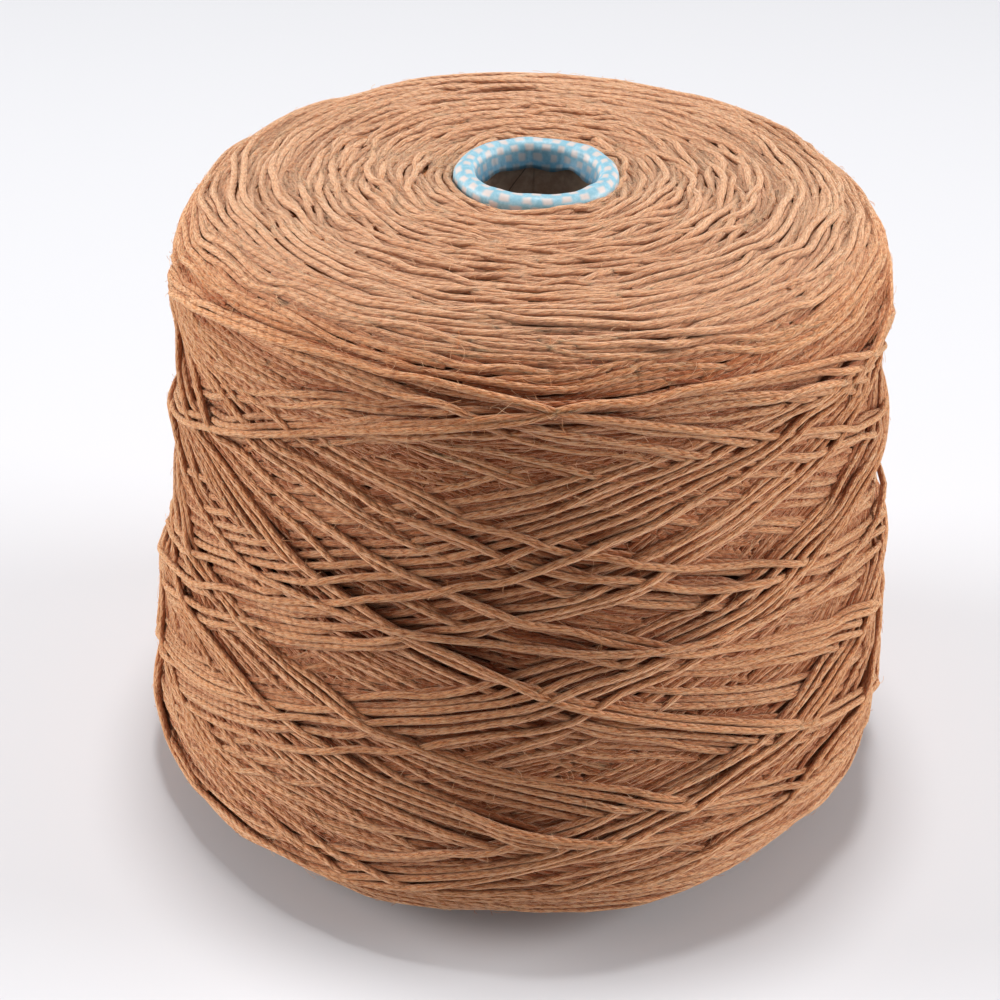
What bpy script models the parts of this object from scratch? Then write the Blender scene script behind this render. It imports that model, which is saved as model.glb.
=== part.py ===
"""A cone of yarn: a cross-wound package on a conical paper core with a rolled, printed nose.

Frame: metres, +Z up along the core's axis, origin at the centre of the core's base, on the surface it stands on.
"""

import math
from collections import namedtuple

import bpy

MM = 0.001

# Driving dimensions, in millimetres.
CORE_LENGTH = 170.0  # base edge to the top of the nose
NOSE_DIAMETER = 40.8  # outside, across the rolled nose
NOSE_ROLL_RADIUS = 2.5  # half the thickness of the rolled rim
CORE_HALF_ANGLE = math.radians(5.95)
WRAP_THICKNESS = 0.8  # printed paper over the nose
WRAP_OUTER_DEPTH = 16.0  # how far the wrap runs down the outside, below the top of the nose
WRAP_INNER_DEPTH = 8.5  # and down the inside
WRAP_TUCK = 1.3  # how far the end tucked inside has gathered towards the axis
BOARD_THICKNESS = 2.0
SEAT_GAP = 0.3  # between pieces that touch
YARN_NOSE_HEIGHT = 166.6  # where the yarn meets the nose
YARN_FOOT_HEIGHT = 11.0  # where the yarn meets the core's foot

# The wound form, turned about the axis, from the nose over the shoulder and down to the foot.
Section = namedtuple("Section", "place radius height")
WOUND_FORM = [
    Section("near the nose", 30.0, 168.0),
    Section("crown", 47.0, 168.2),
    Section("top face", 63.0, 167.6),
    Section("shoulder starts", 76.0, 165.8),
    Section("shoulder", 85.8, 159.6),
    Section("shoulder lip", 90.6, 148.0),
    Section("waist", 89.9, 130.0),
    Section("upper side", 91.6, 109.0),
    Section("middle", 94.2, 84.0),
    Section("lower side", 96.9, 58.0),
    Section("foot lip", 100.3, 30.0),
    Section("foot edge", 97.6, 16.0),
    Section("foot turns under", 89.5, 8.0),
    Section("underside", 72.0, 6.6),
    Section("inner underside", 52.0, 8.6),
]

# Cross-winding: bundles of turns climb the side both ways, and ring the two ends.
BUNDLES_EACH_WAY = 8
WINDING_ANGLE = math.radians(15.0)
SIDE_RADIUS = 96.0
SIDE_RIDGE = 1.5  # height of a bundle above the hollows between
END_RIDGE = 1.0
END_RIDGE_SPACING = 15.0
END_SPIRAL_ARMS = 2
SIDE_TOP_HEIGHT = 150.0  # above this the turns start to ring the shoulder
SIDE_FOOT_HEIGHT = 22.0
TURN_OVER = 12.0  # height over which one pattern gives way to the other
SMOOTH_AT_CORE = 6.0  # the ridges fade out this far from the core

COLUMNS = 90
TOP_ROWS = 16
SIDE_ROWS = 36
UNDER_ROWS = 8
ROUND_SEGMENTS = 72
ROLL_SEGMENTS = 14

YARN_COLOUR = (0.46, 0.245, 0.12, 1.0)
BOARD_COLOUR = (0.25, 0.19, 0.15, 1.0)
WRAP_COLOUR = (0.30, 0.66, 0.80, 1.0)


def clear_scene():
    for obj in list(bpy.data.objects):
        bpy.data.objects.remove(obj)


def plain_material(name, colour, roughness):
    material = bpy.data.materials.new(name)
    material.use_nodes = True
    shader = material.node_tree.nodes["Principled BSDF"]
    shader.inputs["Base Color"].default_value = colour
    shader.inputs["Roughness"].default_value = roughness
    shader.inputs["Metallic"].default_value = 0.0
    return material


def add_rings(name, rings, material):
    """A closed ring-shaped solid from loops of points that run round the axis, each joined to the next."""
    columns = len(rings[0])
    points = [point for ring in rings for point in ring]
    faces = []
    for row in range(len(rings)):
        below = (row + 1) % len(rings)
        for column in range(columns):
            after = (column + 1) % columns
            faces.append(
                (
                    row * columns + column,
                    below * columns + column,
                    below * columns + after,
                    row * columns + after,
                )
            )
    mesh = bpy.data.meshes.new(name)
    mesh.from_pydata([[MM * value for value in point] for point in points], [], faces)
    mesh.shade_smooth()
    mesh.set_sharp_from_angle(angle=math.radians(50.0))
    mesh.materials.append(material)
    obj = bpy.data.objects.new(name, mesh)
    bpy.context.scene.collection.objects.link(obj)
    return obj


def turned_rings(outline, columns):
    """The outline's (radius, height) points, each turned into a loop round the axis."""
    angles = [2.0 * math.pi * column / columns for column in range(columns)]
    return [
        [(radius * math.cos(a), radius * math.sin(a), height) for a in angles]
        for radius, height in outline
    ]


def wrap_radius(height):
    """Outside radius of the nose wrap, which the core's taper carries on down."""
    nose_centre = CORE_LENGTH - NOSE_ROLL_RADIUS
    return NOSE_DIAMETER / 2.0 + (nose_centre - height) * math.tan(CORE_HALF_ANGLE)


def board_radius(height):
    """Outside radius of the board cone under the wrap."""
    return wrap_radius(height) - WRAP_THICKNESS - SEAT_GAP


def build_paper_cone(material):
    """The board cone, from its flat foot to the blunt edge that the nose wrap is rolled over."""
    edge_height = CORE_LENGTH - NOSE_ROLL_RADIUS
    edge_round = BOARD_THICKNESS / 2.0
    outline = [
        (board_radius(0.0) - BOARD_THICKNESS, 0.0),
        (board_radius(edge_height) - BOARD_THICKNESS, edge_height),
    ]
    middle = board_radius(edge_height) - edge_round
    for step in range(1, ROLL_SEGMENTS // 2):
        turn = math.pi * (1.0 - 2.0 * step / ROLL_SEGMENTS)
        outline.append(
            (middle + edge_round * math.cos(turn), edge_height + edge_round * math.sin(turn))
        )
    outline.append((board_radius(edge_height), edge_height))
    outline.append((board_radius(0.0), 0.0))
    return add_rings("paper_cone", turned_rings(outline, ROUND_SEGMENTS), material)


def build_nose_wrap(material):
    """The printed paper: down the outside, over the roll, and down the inside of the nose."""
    roll_height = CORE_LENGTH - NOSE_ROLL_RADIUS
    roll_centre = NOSE_DIAMETER / 2.0 - NOSE_ROLL_RADIUS
    outer_end = CORE_LENGTH - WRAP_OUTER_DEPTH
    inner_end = CORE_LENGTH - WRAP_INNER_DEPTH
    throat = roll_centre - NOSE_ROLL_RADIUS

    def half_turn(radius):
        turns = [math.pi * (1.0 - step / ROLL_SEGMENTS) for step in range(ROLL_SEGMENTS + 1)]
        return [
            (roll_centre + radius * math.cos(t), roll_height + radius * math.sin(t))
            for t in turns
        ]

    tucked = throat - WRAP_TUCK
    outside = [(tucked, inner_end)] + half_turn(NOSE_ROLL_RADIUS)
    outside.append((wrap_radius(outer_end), outer_end))
    inside = [(wrap_radius(outer_end) - WRAP_THICKNESS, outer_end)]
    inside += reversed(half_turn(NOSE_ROLL_RADIUS - WRAP_THICKNESS))
    inside.append((tucked + WRAP_THICKNESS, inner_end))
    return add_rings("nose_wrap", turned_rings(outside + inside, ROUND_SEGMENTS), material)


def smooth_step(value):
    value = min(1.0, max(0.0, value))
    return value * value * (3.0 - 2.0 * value)


def smooth_line(knots, steps):
    """Catmull-Rom curve through the knots, with that many points between each two."""
    padded = [knots[0]] + knots + [knots[-1]]
    line = []
    for before, start, end, after in zip(padded, padded[1:], padded[2:], padded[3:]):
        for step in range(steps):
            t = step / steps
            weights = (
                -0.5 * t + t * t - 0.5 * t**3,
                1.0 - 2.5 * t * t + 1.5 * t**3,
                0.5 * t + 2.0 * t * t - 1.5 * t**3,
                -0.5 * t * t + 0.5 * t**3,
            )
            line.append(
                tuple(
                    sum(w * knot[axis] for w, knot in zip(weights, (before, start, end, after)))
                    for axis in (0, 1)
                )
            )
    line.append(knots[-1])
    return line


def lengths_along(line):
    """Distance from the line's start to each of its points."""
    total = [0.0]
    for start, end in zip(line, line[1:]):
        total.append(total[-1] + math.dist(start, end))
    return total


def point_at(line, lengths, distance):
    """The (radius, height) that far along the line."""
    for index in range(1, len(line)):
        if lengths[index] >= distance:
            share = (distance - lengths[index - 1]) / (lengths[index] - lengths[index - 1])
            return tuple(a + share * (b - a) for a, b in zip(line[index - 1], line[index]))
    return line[-1]


def length_at(line, lengths, place):
    """How far along the line the named section of the wound form lies."""
    section = next(s for s in WOUND_FORM if s.place == place)
    goal = (section.radius, section.height)
    nearest = min(range(len(line)), key=lambda index: math.dist(line[index], goal))
    return lengths[nearest]


def bundle_ridge(angle, along):
    """1 on a bundle of turns and 0 in the hollow between bundles, for the two ways of the cross-winding."""
    climb = 2.0 * math.pi * SIDE_RADIUS * math.tan(WINDING_ANGLE) / BUNDLES_EACH_WAY
    phase = 2.0 * math.pi * along / climb
    rising = 0.5 + 0.5 * math.cos(BUNDLES_EACH_WAY * angle + phase)
    falling = 0.5 + 0.5 * math.cos(BUNDLES_EACH_WAY * angle - phase)
    return max(rising, falling)


def end_ridge(angle, along):
    """1 on a ring of turns at the package's ends, and 0 between rings. The rings are a slow spiral."""
    phase = 2.0 * math.pi * along / END_RIDGE_SPACING
    return 0.5 + 0.5 * math.cos(phase + END_SPIRAL_ARMS * angle)


def ridge_height(angle, along, radius, height):
    """How far the winding stands off the turned form at this place."""
    from_top = smooth_step(0.5 + (SIDE_TOP_HEIGHT - height) / TURN_OVER)
    from_foot = smooth_step(0.5 + (height - SIDE_FOOT_HEIGHT) / TURN_OVER)
    side = from_top * from_foot
    raised = side * SIDE_RIDGE * (bundle_ridge(angle, along) - 0.5)
    raised += (1.0 - side) * END_RIDGE * (end_ridge(angle, along) - 0.5)
    return raised * smooth_step((radius - board_radius(height)) / SMOOTH_AT_CORE)


def build_wound_yarn(material):
    """The package: one ring of wound yarn round the core, with its crossed bundles raised."""
    bore_top = wrap_radius(YARN_NOSE_HEIGHT) + SEAT_GAP
    bore_foot = board_radius(YARN_FOOT_HEIGHT) + SEAT_GAP
    knots = [(bore_top, YARN_NOSE_HEIGHT)]
    knots += [(section.radius, section.height) for section in WOUND_FORM]
    knots.append((bore_foot, YARN_FOOT_HEIGHT))
    line = smooth_line(knots, 12)
    lengths = lengths_along(line)
    shoulder = length_at(line, lengths, "shoulder starts")
    foot = length_at(line, lengths, "foot turns under")
    stops = [shoulder * row / TOP_ROWS for row in range(TOP_ROWS)]
    stops += [shoulder + (foot - shoulder) * row / SIDE_ROWS for row in range(SIDE_ROWS)]
    stops += [foot + (lengths[-1] - foot) * row / UNDER_ROWS for row in range(UNDER_ROWS + 1)]

    rings = []
    for along in stops:
        radius, height = point_at(line, lengths, along)
        ahead = point_at(line, lengths, min(along + 1.0, lengths[-1]))
        behind = point_at(line, lengths, max(along - 1.0, 0.0))
        run = math.dist(ahead, behind)
        out, up = (behind[1] - ahead[1]) / run, (ahead[0] - behind[0]) / run
        ring = []
        for column in range(COLUMNS):
            angle = 2.0 * math.pi * column / COLUMNS
            raised = ridge_height(angle, along, radius, height)
            reach = radius + raised * out
            ring.append((reach * math.cos(angle), reach * math.sin(angle), height + raised * up))
        rings.append(ring)

    # The bore follows the board cone, and steps out over the nose wrap.
    wrap_end = CORE_LENGTH - WRAP_OUTER_DEPTH - SEAT_GAP
    bore = [
        (board_radius(wrap_end) + SEAT_GAP, wrap_end),
        (wrap_radius(wrap_end) + SEAT_GAP, wrap_end),
    ]
    rings += turned_rings(bore, COLUMNS)
    return add_rings("wound_yarn", rings, material)


def main():
    clear_scene()
    build_paper_cone(plain_material("grey_board", BOARD_COLOUR, 0.85))
    build_nose_wrap(plain_material("printed_paper", WRAP_COLOUR, 0.5))
    build_wound_yarn(plain_material("wool_yarn", YARN_COLOUR, 0.95))


main()
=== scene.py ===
import math

import bpy
import numpy as np
from mathutils import Matrix, Vector


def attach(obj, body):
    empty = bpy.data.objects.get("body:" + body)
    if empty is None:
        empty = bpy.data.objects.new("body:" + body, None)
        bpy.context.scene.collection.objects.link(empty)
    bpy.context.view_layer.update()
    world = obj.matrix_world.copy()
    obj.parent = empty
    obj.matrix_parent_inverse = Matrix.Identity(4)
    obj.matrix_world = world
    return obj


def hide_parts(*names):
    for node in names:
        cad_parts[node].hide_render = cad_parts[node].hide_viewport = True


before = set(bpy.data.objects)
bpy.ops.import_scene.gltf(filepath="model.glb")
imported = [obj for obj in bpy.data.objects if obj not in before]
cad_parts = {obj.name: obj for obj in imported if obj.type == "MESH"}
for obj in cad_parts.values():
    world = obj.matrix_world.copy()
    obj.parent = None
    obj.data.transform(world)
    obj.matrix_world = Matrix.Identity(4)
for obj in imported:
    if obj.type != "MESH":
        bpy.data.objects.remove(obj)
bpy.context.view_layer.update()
mm = 0.001
fullTurn = 2.0 * math.pi


# Node trees

class Wire:
    # One socket of a node tree. Arithmetic on it adds Math nodes to the tree.
    def __init__(self, bench, socket):
        self.bench = bench
        self.socket = socket

    def __add__(self, other):
        return self.bench.maths("ADD", self, other)

    __radd__ = __add__

    def __sub__(self, other):
        return self.bench.maths("SUBTRACT", self, other)

    def __rsub__(self, other):
        return self.bench.maths("SUBTRACT", other, self)

    def __mul__(self, other):
        return self.bench.maths("MULTIPLY", self, other)

    __rmul__ = __mul__

    def __truediv__(self, other):
        return self.bench.maths("DIVIDE", self, other)

    def __rtruediv__(self, other):
        return self.bench.maths("DIVIDE", other, self)


class Bench:
    # A node tree under construction, for a material or for geometry.
    def __init__(self, tree):
        self.tree = tree

    def add(self, kind, settings=None, sockets=None, output=0):
        node = self.tree.nodes.new(kind)
        for key, value in (settings or {}).items():
            setattr(node, key, value)
        for key, value in (sockets or {}).items():
            socket = node.inputs[key] if isinstance(key, int) else self.named(node.inputs, key)
            if isinstance(value, Wire):
                self.tree.links.new(value.socket, socket)
            else:
                socket.default_value = value
        if not node.outputs:
            return None
        outlet = node.outputs[output] if isinstance(output, int) else self.named(node.outputs, output)
        return Wire(self, outlet)

    def named(self, sockets, key):
        # a Mix node has several sockets of one name, told apart by their identifiers
        return next((s for s in sockets if s.identifier == key), None) or sockets[key]

    def maths(self, operation, *values):
        return self.add("ShaderNodeMath", {"operation": operation}, dict(enumerate(values)))

    def split(self, vector):
        first = self.add("ShaderNodeSeparateXYZ", None, {0: vector})
        return [Wire(self, outlet) for outlet in first.socket.node.outputs]

    def objectPlace(self):
        return self.add("ShaderNodeTexCoord", None, None, "Object")

    def read(self, name, outlet="Fac"):
        return self.add("ShaderNodeAttribute", {"attribute_name": name}, None, outlet)

    def mixColours(self, share, first, second, blend="MIX"):
        settings = {"data_type": "RGBA", "blend_type": blend}
        sockets = {"Factor_Float": share, "A_Color": first, "B_Color": second}
        return self.add("ShaderNodeMix", settings, sockets, "Result_Color")

    def step(self, value, low, high):
        # from 0 at low to 1 at high
        sockets = {"Value": value, "From Min": low, "From Max": high}
        return self.add("ShaderNodeMapRange", {"interpolation_type": "SMOOTHSTEP"}, sockets)

    def join(self, x, y, z):
        return self.add("ShaderNodeCombineXYZ", None, {0: x, 1: y, 2: z})

    def noise(self, where, scale, detail=2.0, roughness=0.5):
        sockets = {"Vector": where, "Scale": scale, "Detail": detail, "Roughness": roughness}
        return self.add("ShaderNodeTexNoise", None, sockets)


def newFinish(name):
    material = bpy.data.materials.new(name)
    material.use_nodes = True
    material.node_tree.nodes.clear()
    return material, Bench(material.node_tree)


def closeFinish(bench, sockets):
    shader = bench.add("ShaderNodeBsdfPrincipled", None, sockets)
    bench.add("ShaderNodeOutputMaterial", None, {"Surface": shader})


def linear(red, green, blue):
    # an sRGB colour, 0 to 255, as the linear values that a shader takes
    shares = [value / 255.0 for value in (red, green, blue)]
    return tuple(v / 12.92 if v < 0.04045 else ((v + 0.055) / 1.055) ** 2.4 for v in shares) + (1.0,)


def placed(name, data):
    # a new object in the scene
    thing = bpy.data.objects.new(name, data)
    bpy.context.scene.collection.objects.link(thing)
    return thing


# Studio

studio = {
    "eyeBack": 495.15 * mm,  # from the cone's axis
    "eyeHeight": 375.29 * mm,
    "pitch": math.radians(31.33),
    "yaw": math.radians(-0.70),
    "roll": math.radians(1.56),
    "lens": 77.75,
    "sensor": 36.0,
    "halfFloor": 4.0,  # metres
    "floorColour": linear(215, 215, 218),
    "roomColour": linear(246, 247, 250),
    "roomLight": 0.24,
    "lampAim": (0.0, 0.0, 0.08),
    "lamps": {
        # place and width in metres, power in watts
        "topLamp": ((0.0, 0.1, 1.49), 0.36, 15.3),
        "leftLamp": ((-3.2, 0.25, 0.9), 1.8, 120.0),
        "rightLamp": ((3.2, 0.15, 0.9), 1.8, 115.0),
    },
}


def aimCamera():
    pitch, yaw, roll = studio["pitch"], studio["yaw"], studio["roll"]
    flat = math.cos(pitch)
    ahead = Vector((math.sin(yaw) * flat, math.cos(yaw) * flat, -math.sin(pitch)))
    side = Vector((math.cos(yaw), -math.sin(yaw), 0.0))
    over = side.cross(ahead)
    right = side * math.cos(roll) + over * math.sin(roll)
    top = over * math.cos(roll) - side * math.sin(roll)
    place = Matrix((right, top, -ahead)).transposed().to_4x4()
    place.translation = (0.0, -studio["eyeBack"], studio["eyeHeight"])
    camera = placed("camera", bpy.data.cameras.new("camera"))
    camera.data.lens = studio["lens"]
    camera.data.sensor_width = studio["sensor"]
    camera.data.clip_start = 0.01
    camera.matrix_world = place
    bpy.context.scene.camera = camera


def buildStudio():
    finish, bench = newFinish("paleFloor")
    closeFinish(bench, {"Base Color": studio["floorColour"], "Roughness": 0.9})
    half = studio["halfFloor"]
    corners = [(-half, -half, 0), (half, -half, 0), (half, half, 0), (-half, half, 0)]
    mesh = bpy.data.meshes.new("floor")
    mesh.from_pydata(corners, [], [(0, 1, 2, 3)])
    mesh.materials.append(finish)
    placed("floor", mesh)

    world = bpy.data.worlds.new("softRoom")
    world.use_nodes = True
    room = world.node_tree.nodes["Background"]
    room.inputs["Color"].default_value = studio["roomColour"]
    room.inputs["Strength"].default_value = studio["roomLight"]
    bpy.context.scene.world = world

    for name, (where, width, power) in studio["lamps"].items():
        lamp = bpy.data.lights.new(name, "AREA")
        lamp.shape = "DISK"
        lamp.size = width
        lamp.energy = power
        aim = (Vector(studio["lampAim"]) - Vector(where)).to_track_quat("-Z", "Y")
        placed(name, lamp).matrix_world = Matrix.Translation(where) @ aim.to_matrix().to_4x4()
    bpy.context.scene.view_settings.view_transform = "Standard"
    print("cone of yarn: studio ready")


# The wound form

# Outline of the package from the nose, over the shoulder and down to the foot: (radius, height) in mm.
woundForm = {
    "atNose": (21.0, 168.2),
    "nearNose": (30.0, 168.7),
    "crown": (47.0, 168.5),
    "topFace": (63.0, 167.6),
    "shoulderStart": (76.0, 165.8),
    "shoulder": (85.8, 159.6),
    "shoulderLip": (90.6, 148.0),
    "waist": (89.9, 130.0),
    "upperSide": (91.6, 109.0),
    "middle": (94.2, 84.0),
    "lowerSide": (97.9, 58.0),
    "footLip": (100.3, 30.0),
    "footEdge": (97.6, 16.0),
    "footTurn": (89.5, 8.0),
    "underside": (72.0, 6.6),
    "innerUnderside": (52.0, 8.6),
    "atCore": (36.2, 11.0),
}
# The ends of the package lean a little against its axis, to the right in the photograph.
endLean = {"top": math.radians(0.3), "foot": math.radians(1.5), "height": 165.0}
widest = 100.0  # the package's radius near its foot, mm


def smoothed(values, window, shape=np.hanning):
    # a running mean with this odd window, the end values carried on
    kernel = shape(window)
    return np.convolve(np.pad(values, window // 2, "edge"), kernel / kernel.sum(), "valid")


def distances(steps):
    # how far from the first point each one lies, from the steps between them
    return np.concatenate([[0.0], np.cumsum(steps)])


class Outline:
    # The package's outline by the distance s along it, in mm, on a smooth curve through its places.
    def __init__(self, knots, step=0.25, perKnot=24):
        padded = np.array([knots[0]] + knots + [knots[-1]])
        share = np.linspace(0.0, 1.0, perKnot, endpoint=False)[:, None]
        runs = []
        for before, start, end, after in zip(padded, padded[1:], padded[2:], padded[3:]):
            square = 2.0 * before - 5.0 * start + 4.0 * end - after
            cube = 3.0 * start - before - 3.0 * end + after
            run = 2.0 * start + (end - before) * share + square * share**2 + cube * share**3
            runs.append(0.5 * run)
        line = np.vstack(runs + [padded[-1:]])
        along = distances(np.hypot(*np.diff(line, axis=0).T))
        self.length = along[-1]
        self.s = np.arange(0.0, self.length, step)
        self.radius = np.interp(self.s, along, line[:, 0])
        self.height = np.interp(self.s, along, line[:, 1])
        slope = np.stack([smoothed(np.gradient(row), 13, np.ones) for row in (self.radius, self.height)])
        slope /= np.hypot(*slope)
        self.outward = -slope[1]
        self.upward = slope[0]
        self.knots = {name: along[perKnot * index] for index, name in enumerate(woundForm)}
        self.upright = (self.s > self.knots["shoulderStart"]) & (self.s < self.knots["footTurn"])

    def span(self, zone):
        return self.knots[zone["from"]], self.knots[zone["to"]]

    def radiusAt(self, s):
        return np.interp(s, self.s, self.radius)

    def sAtHeight(self, height):
        # the place on the side at this height
        order = np.argsort(self.height[self.upright])
        return np.interp(height, self.height[self.upright][order], self.s[self.upright][order])

    def place(self, angle, s, lift):
        # the point over the outline at this angle, and the way out of the package there, in mm
        outward = np.interp(s, self.s, self.outward)
        upward = np.interp(s, self.s, self.upward)
        reach = self.radiusAt(s) + lift * outward
        x, y = reach * np.cos(angle), reach * np.sin(angle)
        z = np.interp(s, self.s, self.height) + lift * upward
        lean = endLean["foot"] + (endLean["top"] - endLean["foot"]) * z / endLean["height"]
        point = np.stack([x, y, z + np.tan(lean) * x], -1)
        normal = np.stack([outward * np.cos(angle), outward * np.sin(angle), upward], -1)
        return point, normal


outline = Outline(list(woundForm.values()))
print("cone of yarn: outline", round(outline.length, 1), "mm")


# Winding

winding = {
    "strand": 1.88,  # the yarn's thickness, mm
    "press": 0.68,  # what is left of it where it is pressed on the turns below
    "angleSteps": 1500,
    "lengthStep": 0.4,
    "layers": 2,  # of bundled turns over the evenly laid ones
    "bundles": 8,  # each way round the package
    "turnsPerReturn": 13.0 / 8.0,  # turns of the package for one run down and up
    "strandsPerBundle": 5,
    "bundlePitch": 1.98,  # between strands of a bundle
    "layerShift": 0.37,  # of the space between bundles
    "jitter": 0.25,
    "bundleJitter": 1.6,
    "turnJitter": 1.6,  # how far the turning places of a bundle's strands differ, mm
    "wander": 0.4,
    "topTurn": (147.0, 9.0),  # height where the runs turn back, and how much it varies
    "footTurn": (24.0, 7.0),
    "turnSpread": 1.7,  # the most of that spread
    "footJitter": 0.004,  # of a turn: how much the place round the foot varies
    "wanderWave": 170.0,  # grid columns
    "besideWander": 0.2,  # how much a turn laid beside another strays from it, mm
    "besideWave": 60.0,
    "besideShift": 8.0,  # and how far its ends are shifted, in columns
    "turnLength": 190.0,  # grid columns over which a run levels out
    "tautness": 0.55,  # how far a turn bridges the hollows under it
    "edge": 0.95,  # of half the thickness: where a turn's outermost points rest
    "slips": (0.0, -0.45, 0.45, -0.9, 0.9),  # sideways, into a groove below, mm
    "slipCost": 0.12,
    "slipWindow": 51,  # grid columns over which a turn slips, eases and settles
    "easeWindow": 15,
    "settleWindow": 27,
    "joinLength": 40,  # columns over which a run keeps the slip of the run before
    "holdLength": 12,  # and lies no higher than that run's end
    "flattest": 1.0 / 400.0,  # the least that a taut turn bends, per mm
    "seed": 17,
}
angleStep = fullTurn / winding["angleSteps"]


class Pile:
    # How high the laid turns stand over the bed, on a grid of angle by distance along the outline.
    def __init__(self):
        self.rows = int(outline.length / winding["lengthStep"]) + 1
        self.s = np.arange(self.rows) * winding["lengthStep"]
        self.top = np.zeros((winding["angleSteps"], self.rows))
        self.yarn = np.zeros_like(self.top)  # how much of that height is yarn, and not gaps

    def fit(self, girth):
        # takes turns of this many times the yarn's thickness from here on
        self.half = girth * winding["strand"] / 2.0
        self.offsets = np.linspace(-winding["edge"], winding["edge"], 7) * self.half
        self.round = np.sqrt(self.half**2 - self.offsets**2)

    def cells(self, column, s):
        # the cells under the strand's width, seven for each of its points
        radius = outline.radiusAt(s)
        slope = np.gradient(s) / (radius * angleStep)
        scale = 1.0 / np.sqrt(1.0 + slope**2)
        across = s[:, None] + scale[:, None] * self.offsets
        around = column[:, None] - (slope * scale / (radius * angleStep))[:, None] * self.offsets
        return np.rint(around).astype(int) % winding["angleSteps"], self.rowAt(across)

    def rowAt(self, s):
        return np.clip(np.rint(s / winding["lengthStep"]).astype(int), 0, self.rows - 1)

    def support(self, column, s):
        # the lowest that the strand's middle can lie on what is there already
        where = self.cells(column, s)
        return (self.top[where] - (self.half - self.round) + self.half * winding["press"]).max(1)

    def slip(self, column, s, held=None):
        # how far each point slides sideways into the nearest groove between the turns below
        slips = np.array(winding["slips"])
        costs = []
        for slip in slips:
            base = self.support(column, s + slip) + winding["slipCost"] * abs(slip)
            costs.append(smoothed(base, winding["slipWindow"]))
        chosen = slips[np.argmin(costs, axis=0)]
        if held is not None:
            chosen[:winding["joinLength"]] = held
        return smoothed(chosen, winding["slipWindow"])

    def settle(self, column, s, base):
        # the height of the strand's middle: part under tension, part eased into what is below
        coarse = np.unique(np.append(np.arange(0, len(s), 3), len(s) - 1))
        radius = outline.radiusAt(s[coarse])
        bend = np.maximum(np.interp(s[coarse], outline.s, outline.outward) / radius, winding["flattest"])
        x = distances(radius[1:] * angleStep * np.diff(coarse))
        taut = np.interp(column, column[coarse], tautLine(x, base[coarse], bend))
        eased = smoothed(base, winding["easeWindow"])
        middle = winding["tautness"] * taut + (1.0 - winding["tautness"]) * eased
        return smoothed(middle, winding["settleWindow"])

    def lay(self, column, s, middle):
        # raises the pile, and returns how much yarn there now is at each of these points
        where = self.cells(column, s)
        np.maximum.at(self.top, where, middle[:, None] + self.round * winding["press"])
        self.yarn[where] += 2.0 * self.round * winding["press"]
        return self.yarn[where].mean(1)


def tautLine(x, height, bend):
    # the upper hull of the heights along a path that bends over the package: a strand under tension
    fall = np.cumsum(np.cumsum(bend * np.gradient(x)) * np.gradient(x))
    level = height - fall
    hull = [0]
    for index in range(1, len(x)):
        while len(hull) > 1:
            a, b = hull[-2], hull[-1]
            rise = (level[b] - level[a]) * (x[index] - x[a]) - (level[index] - level[a]) * (x[b] - x[a])
            if rise > 0.0:
                break
            hull.pop()
        hull.append(index)
    return np.interp(x, x[hull], level[hull]) + fall


def smoothNoise(chance, count, wave):
    # a smooth random line of unit size, of this many points, and so many of them to a wave
    knots = chance.normal(size=int(count / wave) + 5)
    place = np.arange(count) / wave + chance.random()
    whole = place.astype(int)
    part = place - whole
    ease = part * part * (3.0 - 2.0 * part)
    return knots[whole] * (1.0 - ease) + knots[whole + 1] * ease


def runShape(length, first, last):
    # s from one turning place to the next, level at both ends
    x = np.linspace(0.0, 1.0, length)
    soft = winding["turnLength"] / length
    ramp = np.where(
        x < soft,
        x * x / (2.0 * soft),
        np.where(x > 1.0 - soft, 1.0 - soft - (1.0 - x) ** 2 / (2.0 * soft), x - soft / 2.0),
    )
    return first + (last - first) * ramp / (1.0 - soft)


def windSide(chance):
    # One path for the whole side: the grid column and the distance s of each of its points.
    bundleTurns = {}

    def turnPlace(key, group):
        middle, spread = winding[key]
        if (key, group) not in bundleTurns:
            most = winding["turnSpread"]
            bundleTurns[key, group] = spread * np.clip(chance.normal(), -most, most)
        height = middle + bundleTurns[key, group] + winding["turnJitter"] * chance.normal()
        return outline.sAtHeight(height)

    turnsPerReturn = winding["turnsPerReturn"]
    bundles, strands = winding["bundles"], winding["strandsPerBundle"]
    count = winding["layers"] * bundles * strands
    girth = fullTurn * outline.radiusAt(outline.knots["middle"])
    climb = (outline.knots["footLip"] - outline.knots["shoulderLip"]) / (0.5 * turnsPerReturn * girth)
    pitchTurn = winding["bundlePitch"] / math.sin(math.atan(climb)) / girth
    starts = []
    for number in range(count + 1):
        cycle, bundle = divmod(number, bundles)
        layer, strand = divmod(cycle, strands)
        drift = (strand - strands / 2.0) * pitchTurn + layer * winding["layerShift"] / bundles
        drift += winding["jitter"] * pitchTurn * chance.normal()
        drift += winding["bundleJitter"] * pitchTurn * math.sin(2.4 * bundle + 1.7 * layer)
        starts.append(int(round((number * turnsPerReturn + drift) * winding["angleSteps"])))
    runs = []
    top = turnPlace("topTurn", (0, 0))
    for number, (begin, end) in enumerate(zip(starts, starts[1:])):
        middle = (begin + end) // 2 + int(chance.normal() * winding["footJitter"] * winding["angleSteps"])
        group = (number // bundles // strands, number % bundles)
        following = ((number + 1) // bundles // strands, (number + 1) % bundles)
        foot, nextTop = turnPlace("footTurn", group), turnPlace("topTurn", following)
        runs.append(runShape(middle - begin, top, foot))
        runs.append(runShape(end - middle, foot, nextTop))
        top = nextTop
    s = np.concatenate(runs)
    wander = smoothNoise(chance, len(s), winding["wanderWave"]) * winding["wander"]
    return starts[0] + np.arange(len(s)), s + wander, np.cumsum([0] + [len(run) for run in runs])


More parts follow.
